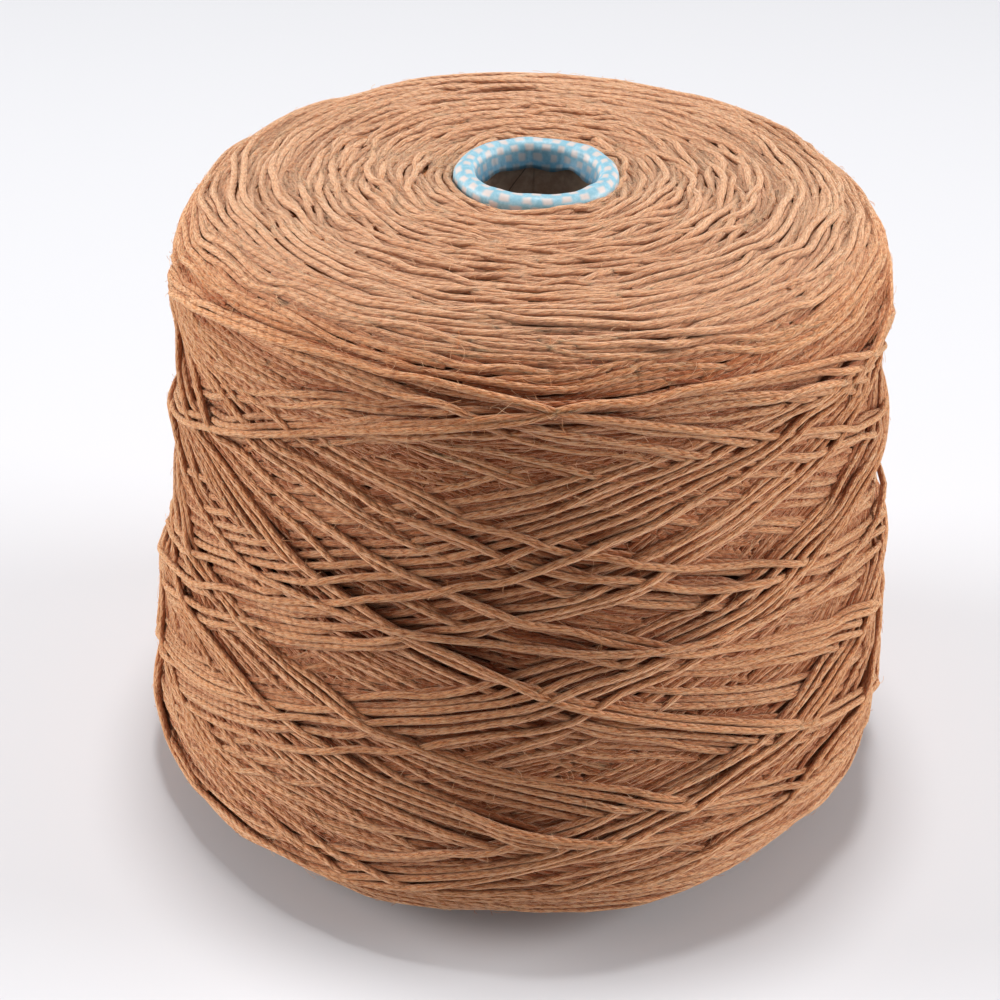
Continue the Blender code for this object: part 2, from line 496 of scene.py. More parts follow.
def tucked(count, depth, sharp):
    # how much lower each of these points lies because both ends are tucked in
    return depth * np.abs(np.linspace(-1.0, 1.0, count)) ** sharp


def layRuns(pile, columns, s, joints):
    # Lays the path on the pile in pieces, each from the middle of a run to the middle of the next.
    pile.fit(1.0)
    middle, beneath = np.zeros(len(s)), np.zeros(len(s))
    cuts = [0] + [(a + b) // 2 for a, b in zip(joints, joints[1:])] + [len(s)]
    held = aside = None
    for start, end in zip(cuts, cuts[1:]):
        piece = np.arange(start, end)
        slide = pile.slip(columns[piece], s[piece], aside)
        s[piece] += slide
        aside = slide[-1]
        base = pile.support(columns[piece], s[piece])
        if held is not None:
            overlap = min(winding["holdLength"], len(base))
            base[:overlap] = np.minimum(base[:overlap], held)
            base[0] = held
        middle[piece] = pile.settle(columns[piece], s[piece], base)
        beneath[piece] = pile.lay(columns[piece], s[piece], middle[piece])
        held = middle[piece][-1]
    return {"columns": columns, "s": s, "middle": middle, "beneath": beneath, "girth": 1.0}


def bow(chance, zone):
    # one short piece of a turn on an end of the package: its grid columns and its places s
    first, last = outline.span(zone)
    middle = first + (last - first) * chance.random()
    stepLength = outline.radiusAt(middle) * angleStep
    length = chance.uniform(*zone["length"])
    count = max(12, int(length / stepLength))
    x = np.linspace(-0.5, 0.5, count) * length
    slope = math.tan(math.radians(zone["slope"]) * chance.normal())
    s = middle + slope * x + zone["wander"] * smoothNoise(chance, count, zone["wave"] / stepLength)
    return np.clip(s, first - 1.0, last + 1.0)


def runPiece(chance, zone):
    # one piece of a run down or up the side
    first, last = outline.span(zone)
    slack = 0.5 * zone["slack"]
    start, end = first + slack * chance.normal(), last + slack * chance.normal()
    run = runShape(int(zone["runLength"] * chance.uniform(*zone["stretch"])), start, end)
    count = int(chance.uniform(*zone["length"]) / (outline.radiusAt(outline.knots["middle"]) * angleStep))
    begin = int(chance.uniform(-0.1, 1.1) * (len(run) - count))
    begin = min(max(begin, 0), len(run) - count)
    s = run[begin:begin + count] + zone["wander"] * smoothNoise(chance, count, zone["wave"])
    return s if chance.random() < 0.5 else s[::-1]


def layPieces(pile, chance, zone, makePiece):
    # Pieces of turns, each laid on the lowest of some tried places, alone or with others beside it.
    paths = []
    first, last = outline.span(zone)
    area = fullTurn * outline.radiusAt(np.linspace(first, last, 60)).mean() * (last - first)
    laid = 0.0
    pile.fit(zone["girth"])
    while laid * zone["girth"] * winding["strand"] < zone["cover"] * area:
        best = None
        for _ in range(zone["tries"]):
            s = makePiece(chance, zone)
            if chance.random() > outline.radiusAt(s).mean() / widest:
                continue
            columns = int(chance.random() * winding["angleSteps"]) + np.arange(len(s))
            base = pile.support(columns, s)
            if best is None or base.mean() < best[0]:
                best = (base.mean(), columns, s)
        if best is None:
            continue
        _, columns, s = best
        side = chance.choice((-1.0, 1.0)) * zone["girth"] * winding["bundlePitch"]
        for number in range(chance.integers(*zone["group"])):
            if number:
                stray = smoothNoise(chance, len(s), winding["besideWave"])
                s = s + side + winding["besideWander"] * stray
                columns = columns + int(chance.normal() * winding["besideShift"])
            s = s + pile.slip(columns, s)
            middle = pile.settle(columns, s, pile.support(columns, s))
            middle -= tucked(len(s), zone["dip"], zone["dipSharp"]) + zone["sink"]
            beneath = pile.lay(columns, s, middle)
            path = {"columns": columns, "s": s, "middle": middle, "beneath": beneath}
            paths.append({**path, "girth": zone["girth"]})
            laid += len(s) * angleStep * outline.radiusAt(s).mean()
    return paths


# How often over the pieces of turns cover a zone, and their form. Their girth is in thicknesses of the
# yarn, their slope in degrees, and lengths are in mm, also how deep their ends dip and the whole sinks.
crownZone = {
    "from": "atNose", "to": "shoulder", "cover": 4.0, "tries": 9, "length": (16.0, 46.0), "girth": 1.28,
    "slope": 6.0, "wander": 0.32, "wave": 14.0, "dip": 2.2, "dipSharp": 2.2, "sink": 0.3, "group": (1, 2),
}
shoulderZone = {
    "from": "topFace", "to": "waist", "cover": 2.4, "tries": 7, "length": (45.0, 140.0), "girth": 1.18,
    "slope": 3.5, "wander": 0.45, "wave": 14.0, "dip": 2.4, "dipSharp": 4.0, "sink": 0.2, "group": (1, 3),
}
footZone = {
    "from": "footLip", "to": "atCore", "cover": 3.2, "tries": 7, "length": (40.0, 110.0), "girth": 1.12,
    "slope": 3.5, "wander": 0.35, "wave": 14.0, "dip": 2.2, "dipSharp": 4.0, "sink": 0.2, "group": (1, 3),
}
# On the side they are parts of whole runs, whose own length and wave are in grid columns.
sideZone = {
    "from": "shoulder", "to": "footEdge", "cover": 4.2, "tries": 12, "length": (90.0, 230.0),
    "girth": 1.06, "runLength": 1240, "stretch": (0.75, 1.45), "slack": 9.0, "wander": 0.45, "wave": 90.0,
    "dip": 2.4, "dipSharp": 6.0, "sink": 0.15, "group": (1, 6),
}


looseTurn = {
    # places that the last turn goes through: angle round the package in degrees, height in mm
    "places": (
        (-200.0, 121.0), (-172.0, 109.0), (-153.0, 100.6), (-146.0, 96.0), (-136.0, 94.2), (-120.0, 93.9),
        (-98.0, 91.9), (-78.0, 88.5), (-62.0, 87.2), (-46.0, 86.0), (-28.0, 85.4), (-16.0, 84.5),
        (-11.0, 86.5), (-5.0, 91.0), (1.0, 95.5), (12.0, 101.0), (45.0, 110.0),
    ),
    "easeWindow": 45,  # grid columns over which its corners are rounded
    "girth": 1.22,  # of the other turns' thickness
    "loopAngle": -7.0,  # where it stands off the side
    "loopWidth": 7.0,
    "loopLift": 2.3,
    "over": 0.15,  # above the turns that it lies on, mm
    "tuck": 2.5,  # how deep its two ends are tucked in
    "tuckSharp": 40.0,
}


def lastTurn(pile):
    # the slack turn round the middle of the package, which lies over all the others
    angles, heights = np.array(looseTurn["places"]).T
    first, last = (int(math.radians(angle) / angleStep) for angle in (angles[0], angles[-1]))
    columns = np.arange(first, last)
    degrees = np.degrees(columns * angleStep)
    height = np.interp(degrees, angles, heights)
    s = outline.sAtHeight(smoothed(height, looseTurn["easeWindow"]))
    pile.fit(looseTurn["girth"])
    middle = pile.settle(columns, s, pile.support(columns, s)) + looseTurn["over"]
    middle -= tucked(len(s), looseTurn["tuck"], looseTurn["tuckSharp"])
    beneath = pile.lay(columns, s, middle)
    away = (degrees - looseTurn["loopAngle"]) / looseTurn["loopWidth"]
    return {
        "columns": columns, "s": s, "middle": middle, "beneath": beneath, "girth": looseTurn["girth"],
        "loop": looseTurn["loopLift"] * np.exp(-away**2),
    }


def windPackage():
    chance = np.random.default_rng(winding["seed"])
    pile = Pile()
    paths = []
    for zone in (crownZone, footZone, sideZone, shoulderZone):
        paths += layPieces(pile, chance, zone, runPiece if zone is sideZone else bow)
        print("cone of yarn: laid", len(paths), "pieces, down to", zone["to"])
    columns, s, joints = windSide(chance)
    paths.append(layRuns(pile, columns, s, joints))
    print("cone of yarn: side wound,", len(joints) - 1, "runs")
    paths.append(lastTurn(pile))
    return pile, paths


pile, paths = windPackage()


# Turns that show

drawn = {
    "sideSpacing": 3.8,  # between the rings of a turn's mesh, mm
    "endSpacing": 2.6,
    "buried": 0.7,  # deeper than this under the pile, a turn is left out
    "gap": 1.2,  # unless there is more empty space than this over it,
    "cover": 2.2,  # and less yarn than this, or near the shoulder this many times that space
    "shoulderCover": 1.9,
    "aboveShoulder": 6.0,  # how far up and down from there the shoulder's rule holds
    "belowShoulder": 4.0,
    "spare": 2.5,  # how far a shown stretch runs on at both ends
    "shortest": 4.0,
    "shortGap": 9.0,  # a turn that dips out of sight for less than this stays whole
    "perPiece": 16500,  # rings in one mesh
    "shade": (1.6, 0.75),  # so much of the pile over a turn, across its width, shades it by this share
    "depth": (2.6, 0.5),  # and so does lying this far under its surroundings
    "levelShare": 88.0,  # per cent of the pile that stays under the outline
    # the most that a turn stands over the outline and lies under it, in mm
    "relief": {
        "atNose": (0.9, 1.2),
        "shoulderStart": (0.7, 1.3),
        "shoulderLip": (1.4, 2.0),
        "upperSide": (2.0, 3.6),
        "lowerSide": (2.0, 3.4),
        "footLip": (1.7, 2.8),
        "footTurn": (1.2, 2.2),
    },
    "seeds": 99991,  # how many first columns give seeds of their own
    "patternLength": 400.0,  # mm of yarn from which each stretch takes its pattern
    "sides": 6,
    "flatness": 0.94,
    "uneven": 0.1,  # how much a turn's thickness varies along it
    "unevenWave": 2.2,  # rings
}


def levelling(pile):
    # The height at each s under which most of the pile lies, smoothed: it is brought to the outline.
    return smoothed(np.percentile(pile.top, drawn["levelShare"], axis=0), 21)


def liftAt(pile, level, s, height):
    # where a height on the pile comes to stand over the outline, the relief pressed flatter on the ends
    lift = height - np.interp(s, pile.s, level)
    places = [outline.knots[name] for name in drawn["relief"]]
    proud, hollow = (np.interp(s, places, limits) for limits in zip(*drawn["relief"].values()))
    squeezed = hollow * (np.exp(np.minimum(lift, 0.0) / hollow) - 1.0)
    return np.where(lift > 0.0, proud * np.tanh(lift / proud), squeezed)


def localTop(pile, reach=14):
    # the pile's height averaged round each cell
    mean, shifts = pile.top, range(-reach, reach + 1, 2)
    for axis in (0, 1):
        mean = sum(np.roll(mean, shift, axis) for shift in shifts) / len(shifts)
    return mean


def shownRuns(pile, path):
    # the stretches of a path that aren't buried, as index ranges
    s = path["s"]
    pile.fit(path["girth"])
    where = pile.cells(path["columns"], s)
    under = pile.top[where] - (path["middle"][:, None] + pile.round * winding["press"])
    over = under.min(1)
    full = drawn["shade"][0]
    path["covered"] = np.clip(under.mean(1), 0.0, full) / full
    cover = pile.yarn[where].mean(1) - path["beneath"]
    atShoulder = s > outline.knots["shoulderLip"] - drawn["aboveShoulder"]
    atShoulder &= s < outline.knots["waist"] + drawn["belowShoulder"]
    most = np.where(atShoulder, drawn["shoulderCover"] * (over - cover), drawn["cover"])
    shown = (over < drawn["buried"]) | ((over - cover > drawn["gap"]) & (cover < most))
    stepLength = outline.radiusAt(s) * angleStep
    edges = np.flatnonzero(np.diff(np.concatenate([[False], shown, [False]]).astype(int)))
    spans = []
    for start, end in zip(edges[::2], edges[1::2]):
        pad = int(drawn["spare"] / stepLength[start])
        start, end = max(0, start - pad), min(len(s), end + pad)
        if spans and start - spans[-1][1] < drawn["shortGap"] / stepLength[start]:
            spans[-1][1] = end
        else:
            spans.append([start, end])
    return [(start, end) for start, end in spans if (end - start) * stepLength[start] > drawn["shortest"]]


class Thread:
    # Points of many stretches of yarn, gathered for one mesh.
    def __init__(self):
        self.rows = {"point": [], "normal": [], "along": [], "tone": [], "sunk": [], "girth": []}
        self.edges = []
        self.count = 0

    def take(self, point, normal, along, tone, sunk, girth):
        for key, value in zip(self.rows, (point, normal, along, tone, sunk, girth)):
            self.rows[key].append(value)
        first = self.count + np.arange(len(along) - 1)
        self.edges.append(np.stack([first, first + 1], -1))
        self.count += len(along)

    def mesh(self, name):
        rows = {key: np.concatenate(value) for key, value in self.rows.items()}
        edges = np.concatenate(self.edges)
        mesh = bpy.data.meshes.new(name)
        mesh.vertices.add(self.count)
        mesh.vertices.foreach_set("co", (rows["point"] * mm).ravel())
        mesh.edges.add(len(edges))
        mesh.edges.foreach_set("vertices", edges.ravel())
        for key in ("along", "tone", "sunk", "girth"):
            mesh.attributes.new(key, "FLOAT", "POINT").data.foreach_set("value", rows[key])
        outward = mesh.attributes.new("outward", "FLOAT_VECTOR", "POINT")
        outward.data.foreach_set("vector", rows["normal"].ravel())
        mesh.update()
        return mesh


def threadPath(threads, pile, level, around, path, spacing):
    # adds a path's shown stretches to the threads, opening a new one when the last is full
    columns, s, middle = path["columns"], path["s"], path["middle"]
    chance = np.random.default_rng(int(columns[0]) % drawn["seeds"])
    for start, end in shownRuns(pile, path):
        stepLength = outline.radiusAt(s[start:end]).mean() * angleStep
        count = max(3, int((end - start) * stepLength / spacing))
        picks = np.unique(np.rint(np.linspace(start, end - 1, count)).astype(int))
        half = 0.5 * winding["strand"] * path["girth"]
        lift = liftAt(pile, level, s[picks], middle[picks] + half) - half
        if "loop" in path:
            lift = lift + path["loop"][picks]
        point, normal = outline.place(columns[picks] * angleStep, s[picks], lift)
        steps = np.linalg.norm(np.diff(point, axis=0), axis=1)
        along = drawn["patternLength"] * chance.random() + distances(steps)
        full, depthShare = drawn["depth"]
        under = around[columns[picks] % winding["angleSteps"], pile.rowAt(s[picks])] - middle[picks]
        sunk = depthShare * np.clip(under / full, 0.0, 1.0) + drawn["shade"][1] * path["covered"][picks]
        sunk = np.clip(sunk, 0.0, 1.0)
        tone = np.full(len(picks), chance.random())
        if threads[-1].count + len(picks) > drawn["perPiece"]:
            threads.append(Thread())
        uneven = drawn["uneven"] * smoothNoise(chance, len(picks), drawn["unevenWave"])
        threads[-1].take(point, normal, along, tone, sunk, path["girth"] * (1.0 + uneven))


def tubeTree():
    # Geometry nodes: edges to round turns of yarn, whose points know which way round them they lie.
    tree = bpy.data.node_groups.new("turns of yarn", "GeometryNodeTree")
    face = tree.interface
    inputs = {"Geometry": "Geometry", "Thickness": "Float", "Flatness": "Float", "Sides": "Int"}
    inputs["Finish"] = "Material"
    for name, kind in inputs.items():
        face.new_socket(name, in_out="INPUT", socket_type="NodeSocket" + kind)
    face.new_socket("Geometry", in_out="OUTPUT", socket_type="NodeSocketGeometry")
    bench = Bench(tree)
    sources = bench.add("NodeGroupInput").socket.node
    given = {name: Wire(bench, sources.outputs[name]) for name in inputs}

    def attribute(name, kind):
        settings = {"data_type": kind}
        return bench.add("GeometryNodeInputNamedAttribute", settings, {"Name": name}, "Attribute")

    line = bench.add("GeometryNodeMeshToCurve", None, {"Mesh": given["Geometry"]})
    line = bench.add(
        "GeometryNodeSetCurveNormal", {"mode": "FREE"},
        {"Curve": line, "Normal": attribute("outward", "FLOAT_VECTOR")},
    )
    girth = attribute("girth", "FLOAT")
    line = bench.add("GeometryNodeSetCurveRadius", None, {"Curve": line, "Radius": girth})
    sockets = {"Resolution": given["Sides"], "Radius": given["Thickness"] * 0.5}
    ring = bench.add("GeometryNodeCurvePrimitiveCircle", {"mode": "RADIUS"}, sockets)
    scale = bench.join(given["Flatness"], 1.0, 1.0)
    ring = bench.add("GeometryNodeTransform", None, {"Geometry": ring, "Scale": scale})
    turn = bench.add("GeometryNodeInputIndex") / given["Sides"] * fullTurn
    across = bench.join(bench.maths("COSINE", turn), bench.maths("SINE", turn), 0.0)
    capture = bench.add("GeometryNodeCaptureAttribute", None, {"Geometry": ring}).socket.node
    capture.capture_items.new("VECTOR", "section")
    tree.links.new(across.socket, capture.inputs["section"])
    ring, section = (Wire(bench, capture.outputs[name]) for name in ("Geometry", "section"))
    sockets = {"Curve": line, "Profile Curve": ring, "Fill Caps": True}
    tube = bench.add("GeometryNodeCurveToMesh", None, sockets)
    tube = bench.add(
        "GeometryNodeStoreNamedAttribute", {"data_type": "FLOAT_VECTOR", "domain": "POINT"},
        {"Geometry": tube, "Name": "section", "Value": section},
    )
    tube = bench.add("GeometryNodeSetShadeSmooth", None, {0: tube, "Shade Smooth": True})
    tube = bench.add("GeometryNodeRealizeInstances", None, {"Geometry": tube})
    tube = bench.add("GeometryNodeSetMaterial", None, {"Geometry": tube, "Material": given["Finish"]})
    bench.add("NodeGroupOutput", None, {"Geometry": tube})
    return tree


def grown(name, mesh, tree, values):
    # a plain mesh object made by a geometry tree from this mesh
    seed = placed(name + ".seed", mesh)
    modifier = seed.modifiers.new("grown", "NODES")
    modifier.node_group = tree
    for socket in tree.interface.items_tree:
        if socket.in_out == "INPUT" and socket.name in values:
            modifier[socket.identifier] = values[socket.name]
    graph = bpy.context.evaluated_depsgraph_get()
    result = bpy.data.meshes.new_from_object(seed.evaluated_get(graph))
    result.name = name
    bpy.data.objects.remove(seed)
    return placed(name, result)


# Finishes

yarnLook = {
    "lit": linear(226, 167, 121),
    "warm": linear(212, 138, 85),
    "pale": linear(229, 193, 160),
    # painted shade, the colour of the hollows in and between the strands
    "deep": linear(120, 38, 10),
    "shade": linear(178, 124, 96),  # multiplies the colour of turns that lie deep
    "paintedTopLight": linear(227, 193, 166),  # painted light, a paler colour on the top end
    "sheen": linear(240, 198, 164),
    "plies": 8.0,
    "twist": 44.0,  # mm of yarn for one turn of its plies
    "stitch": 3.1,  # mm from one stitch of the chained yarn to the next
    # the most that each kind of mark gives of its colour; grooves, dark dashes, knots and flanks are
    # painted shade
    "paleDash": 0.7,
    "darkDash": 0.75,
    "groove": 0.4,
    "knot": 0.5,
    "flank": 0.55,
    "warmer": 0.25,  # on the stretches of the highest tone
    "paintedTopLightShare": 0.3,  # painted light on the top end
    "lessShade": 0.4,
    "topEnd": (0.155, 0.168),  # heights in metres between which the side turns into it
}


def topShare(bench):
    # 0 on the side of the package, 1 on its top end
    return bench.step(bench.split(bench.objectPlace())[2], *yarnLook["topEnd"])


def yarnFinish():
    look = yarnLook
    finish, bench = newFinish("woolYarn")
    along, tone, sunk = (bench.read(name) for name in ("along", "tone", "sunk"))
    x, y, _ = bench.split(bench.read("section", "Vector"))  # round the strand, x away from the package

    # streaks and dashes that wind round the strand with its twist, elsewhere on each stretch of it
    turn = along * (fullTurn / look["twist"]) + tone * 44.0
    cosine, sine = bench.maths("COSINE", turn), bench.maths("SINE", turn)
    east, north = x * cosine - y * sine, x * sine + y * cosine
    streakWay = bench.join(east * 2.0, north * 2.0, along * 0.3 + tone * 90.0)
    dashWay = bench.join(east * 2.8, north * 2.8, along * 0.42 + tone * 50.0)
    streak = bench.noise(streakWay, 1.3, 3.0, 0.65)
    dash = bench.noise(dashWay, 1.2, 2.0, 0.6)

    # plies with grooves between them, stitches with a knot beside each, and the strand's flanks; grooves,
    # knots and flanks are where painted shade goes
    ply = bench.maths("ARCTAN2", north, east) * (look["plies"] * 0.5) + streak * 4.0
    ply = bench.maths("ABSOLUTE", bench.maths("SINE", ply))
    groove = 1.0 - bench.step(ply, 0.0, 0.55)
    aside = bench.maths("ABSOLUTE", bench.maths("ARCTAN2", y, x))
    stitch = along * (math.pi / look["stitch"]) + aside * 1.5 + streak * 2.0 + tone * 30.0
    stitch = bench.maths("ABSOLUTE", bench.maths("SINE", stitch))
    knot = (1.0 - bench.step(stitch, 0.05, 0.5)) * bench.step(aside, 0.3, 0.9)
    flank = bench.step(x, 0.6, -0.2) * (dash * 0.8 + 0.6)

    colour = bench.mixColours(bench.step(streak, 0.42, 0.62), look["lit"], look["warm"])
    # painted shade: the deep colour goes into grooves, dark dashes, knots and flanks
    for share, tint in (
        (bench.step(dash, 0.5, 0.64) * look["paleDash"], "pale"),
        (groove * look["groove"], "deep"),
        (bench.step(dash, 0.47, 0.37) * look["darkDash"], "deep"),
        (knot * look["knot"], "deep"),
        (flank * look["flank"], "deep"),
    ):
        colour = bench.mixColours(share, colour, look[tint])
    onTop = topShare(bench)
    colour = bench.mixColours(sunk * (1.0 - onTop * look["lessShade"]), colour, look["shade"], "MULTIPLY")
    colour = bench.mixColours(tone * look["warmer"], colour, look["warm"])
    # painted light: the top end is made paler
    colour = bench.mixColours(onTop * look["paintedTopLightShare"], colour, look["paintedTopLight"])
    relief = ply * 0.6 + dash * 0.8 + streak * 0.4 + stitch * 0.8
    bump = bench.add("ShaderNodeBump", None, {"Strength": 0.9, "Distance": 0.4 * mm, "Height": relief})
    closeFinish(bench, {
        "Base Color": colour, "Roughness": 0.95, "Normal": bump, "Specular IOR Level": 0.0,
        "Subsurface Weight": 0.8, "Subsurface Radius": (1.0, 1.0, 1.0), "Subsurface Scale": 0.55 * mm,
        "Sheen Weight": 0.9, "Sheen Roughness": 0.5, "Sheen Tint": look["sheen"],
    })
    return finish


def windTurns(finish):
    level, around = levelling(pile), localTop(pile)
    threads = [Thread()]
    for path in paths:
        onSide = outline.knots["shoulder"] < path["s"].mean() < outline.knots["footEdge"]
        spacing = drawn["sideSpacing" if onSide else "endSpacing"]
        threadPath(threads, pile, level, around, path, spacing)
    tree = tubeTree()
    values = {"Thickness": winding["strand"] * mm, "Finish": finish}
    values.update({"Flatness": drawn["flatness"], "Sides": drawn["sides"]})
    pieces = []
    for number, thread in enumerate(threads, 1):
        piece = grown("yarnTurns%d" % number, thread.mesh("turns%d" % number), tree, values)
        pieces.append(piece)
        print("cone of yarn:", piece.name, thread.count, "rings", len(piece.data.polygons), "faces")
    return pieces


fuzz = {
    "seed": 31,
    "fibres": 9000,
    "length": (1.2, 6.5),  # mm
    "rise": (0.15, 1.1),
    "rootDepth": 0.25,
    "thickness": 0.1,
    "taper": 0.75,
    "spread": 0.8,  # radians to either side of the way the turns run
    "curl": 0.5,
    "colour": linear(236, 196, 158),
}


def fuzzFinish():
    finish, bench = newFinish("flyawayWool")
    colour = bench.mixColours(bench.read("tone"), fuzz["colour"], yarnLook["warm"])
    closeFinish(bench, {"Base Color": colour, "Roughness": 1.0, "Specular IOR Level": 0.1})
    return finish


def flyaways(finish):
    # loose fibres that stand off the yarn, each of four points
    chance = np.random.default_rng(fuzz["seed"])
    tries, level = 3 * fuzz["fibres"], levelling(pile)
    s = chance.uniform(0.0, outline.length, tries)
    s = s[chance.random(tries) < outline.radiusAt(s) / widest][:fuzz["fibres"]]
    count = len(s)
    angle = chance.uniform(0.0, fullTurn, count)
    length = chance.uniform(*fuzz["length"], count) * chance.uniform(0.4, 1.0, count)
    rise = chance.uniform(*fuzz["rise"], count) * chance.uniform(0.3, 1.0, count)
    heading = fuzz["spread"] * chance.normal(size=count) + math.pi * (chance.random(count) < 0.5)
    curl = chance.normal(size=count) * fuzz["curl"]
    column = (angle / angleStep).astype(int) % winding["angleSteps"]
    root = liftAt(pile, level, s, pile.top[column, pile.rowAt(s)]) - fuzz["rootDepth"]
    shares = np.array([0.0, 0.35, 0.7, 1.0])
    places = []
    for share in shares:
        way = heading + curl * share
        reach = length * share
        at = np.clip(s + reach * np.sin(way), 0.0, outline.length)
        turned = angle + reach * np.cos(way) / np.maximum(outline.radiusAt(s), 10.0)
        lift = root + fuzz["rootDepth"] * share + rise * np.sin(share * 2.2)
        places.append(outline.place(turned, at, lift))
    points, normals = (np.stack(rows, 1) for rows in zip(*places))
    thread = Thread()
    girth = 1.0 - fuzz["taper"] * shares
    for point, normal, tone in zip(points, normals, chance.random(count)):
        thread.take(point, normal, shares, np.full(4, tone), np.zeros(4), girth)
    values = {"Thickness": fuzz["thickness"] * mm, "Flatness": 1.0, "Sides": 3, "Finish": finish}
    piece = grown("flyaways", thread.mesh("fibres"), tubeTree(), values)
    print("cone of yarn: flyaways", count, "fibres", len(piece.data.polygons), "faces")
    return piece


def ringMesh(name, rings, finish, rowsV=None):
    # a closed mesh from rings of points, the last ring joined to the first
    rows, columns = len(rings), len(rings[0])
    row, column = np.meshgrid(np.arange(rows), np.arange(columns), indexing="ij")
    below, after = (row + 1) % rows, (column + 1) % columns
    faces = np.stack([
        row * columns + column, below * columns + column, below * columns + after, row * columns + after,
    ], -1)
    mesh = bpy.data.meshes.new(name)
    mesh.from_pydata((np.concatenate(rings) * mm).tolist(), [], faces.reshape(-1, 4).tolist())
    if rowsV is not None:
        u, beyond, v = column / columns, (column + 1) / columns, np.array(rowsV)
        corners = ((u, row), (u, below), (beyond, below), (beyond, row))
        corners = np.stack([np.stack([left, v[at]], -1) for left, at in corners], 2)
        mesh.uv_layers.new(name="UVMap").data.foreach_set("uv", corners.reshape(-1))
    mesh.shade_smooth()
    mesh.materials.append(finish)
    return placed(name, mesh)


bed = {
    "columns": 90,
    "rows": 70,
    # how far the hidden body of the package lies under its outline, in mm
    "depth": {
        "atNose": 2.7, "shoulderStart": 2.7, "shoulderLip": 4.4, "upperSide": 5.0,
        "footLip": 4.4, "atCore": 4.4,
    },
    # painted shade: the hidden body is darker than the yarn's own colour, and lighter on the top end
    "shaded": linear(104, 56, 32),
    "lit": linear(132, 78, 48),
    "onTop": linear(206, 140, 92),
}


def bedOfYarn(finish):
    s = np.linspace(0.0, outline.length, bed["rows"])
    depth = np.interp(s, [outline.knots[name] for name in bed["depth"]], list(bed["depth"].values()))
    angles = np.linspace(0.0, fullTurn, bed["columns"], endpoint=False)
    rings = [
        outline.place(angles, np.full(len(angles), value), np.full(len(angles), -under))[0]
        for value, under in zip(s, depth)
    ]
    return ringMesh("yarnBed", rings, finish)


def bedFinish():
    finish, bench = newFinish("innerWoolPaintedShade")
    # painted shade, mottled, with less of it on the top end
    colour = bench.mixColours(bench.noise(bench.objectPlace(), 900.0), bed["shaded"], bed["lit"])
    colour = bench.mixColours(topShare(bench), colour, bed["onTop"])
    closeFinish(bench, {"Base Color": colour, "Roughness": 1.0})
    return finish


# Nose and cone

noseLook = {
    "rollCentre": 17.75,  # radius of the middle of the rolled rim, mm
    "rollHeight": 167.5,
    "rollRadius": 2.6,
    "paper": 0.5,
    "outerEnd": 155.0,
    "innerEnd": 163.3,
    "tuck": 1.0,  # how far the tucked end has gathered inwards
    # shares of that, heights over the end, and how pleated the paper is there
    "tucked": ((1.0, 0.0, 1.0), (0.75, 1.0, 0.9), (0.45, 2.0, 0.75), (0.15, 3.1, 0.55)),
    "taper": math.tan(math.radians(5.95)),
    "columns": 240,
    "pleatDepth": 0.05,
    "lumps": 0.1,
    "hem": (0.5, 3.0),  # how uneven the tucked end is, and how far along the paper, in mm
    "nod": 0.01,  # how much the rim dips towards the front
    "nodHeights": (158.0, 6.0),  # where that begins, and how far over it it is full
    "squaresRound": 24,
    "rowPitch": 2.4,
    "firstRow": 0.22,  # where the squares start, in rows
    "squareWide": 0.24,  # half a square's width, of the space between squares
    "squareTall": 0.38,
    "blue": linear(128, 175, 192),
    "rubbedBlue": linear(176, 208, 220),
    "cream": linear(216, 196, 186),
    "rubbedCream": linear(206, 172, 158),
    "print": 0.82,  # how fully the squares cover the blue
    "shade": linear(70, 140, 172),
}
coneLook = {
    "innerFoot": 34.7,  # radius inside the board at its foot, mm
    "innerTop": 17.3,
    "board": 2.0,
    "top": 167.4,
    "lap": 0.5,  # step where the rolled board ends, inside
    "lapAngle": math.radians(92.7),
    "columns": 180,
    "aside": 0.85 / 168.0,  # how much the cone leans to the right in the photograph
    "grey": linear(186, 152, 130),
    "pale": linear(216, 184, 160),
    "cloud": linear(136, 104, 84),
    # painted light on the inside of the board, round to the right
    "paintedSideLight": linear(226, 196, 164),
    "seam": linear(60, 42, 32),
}


def roundNoise(chance, angles, waves):
    # a smooth random line round the axis, of about unit size, from waves of these counts
    total = sum(
        np.cos(count * angles + chance.uniform(0.0, 6.28)) * chance.uniform(0.5, 1.0)
        for count in waves
    )
    return total / math.sqrt(0.3 * len(waves))


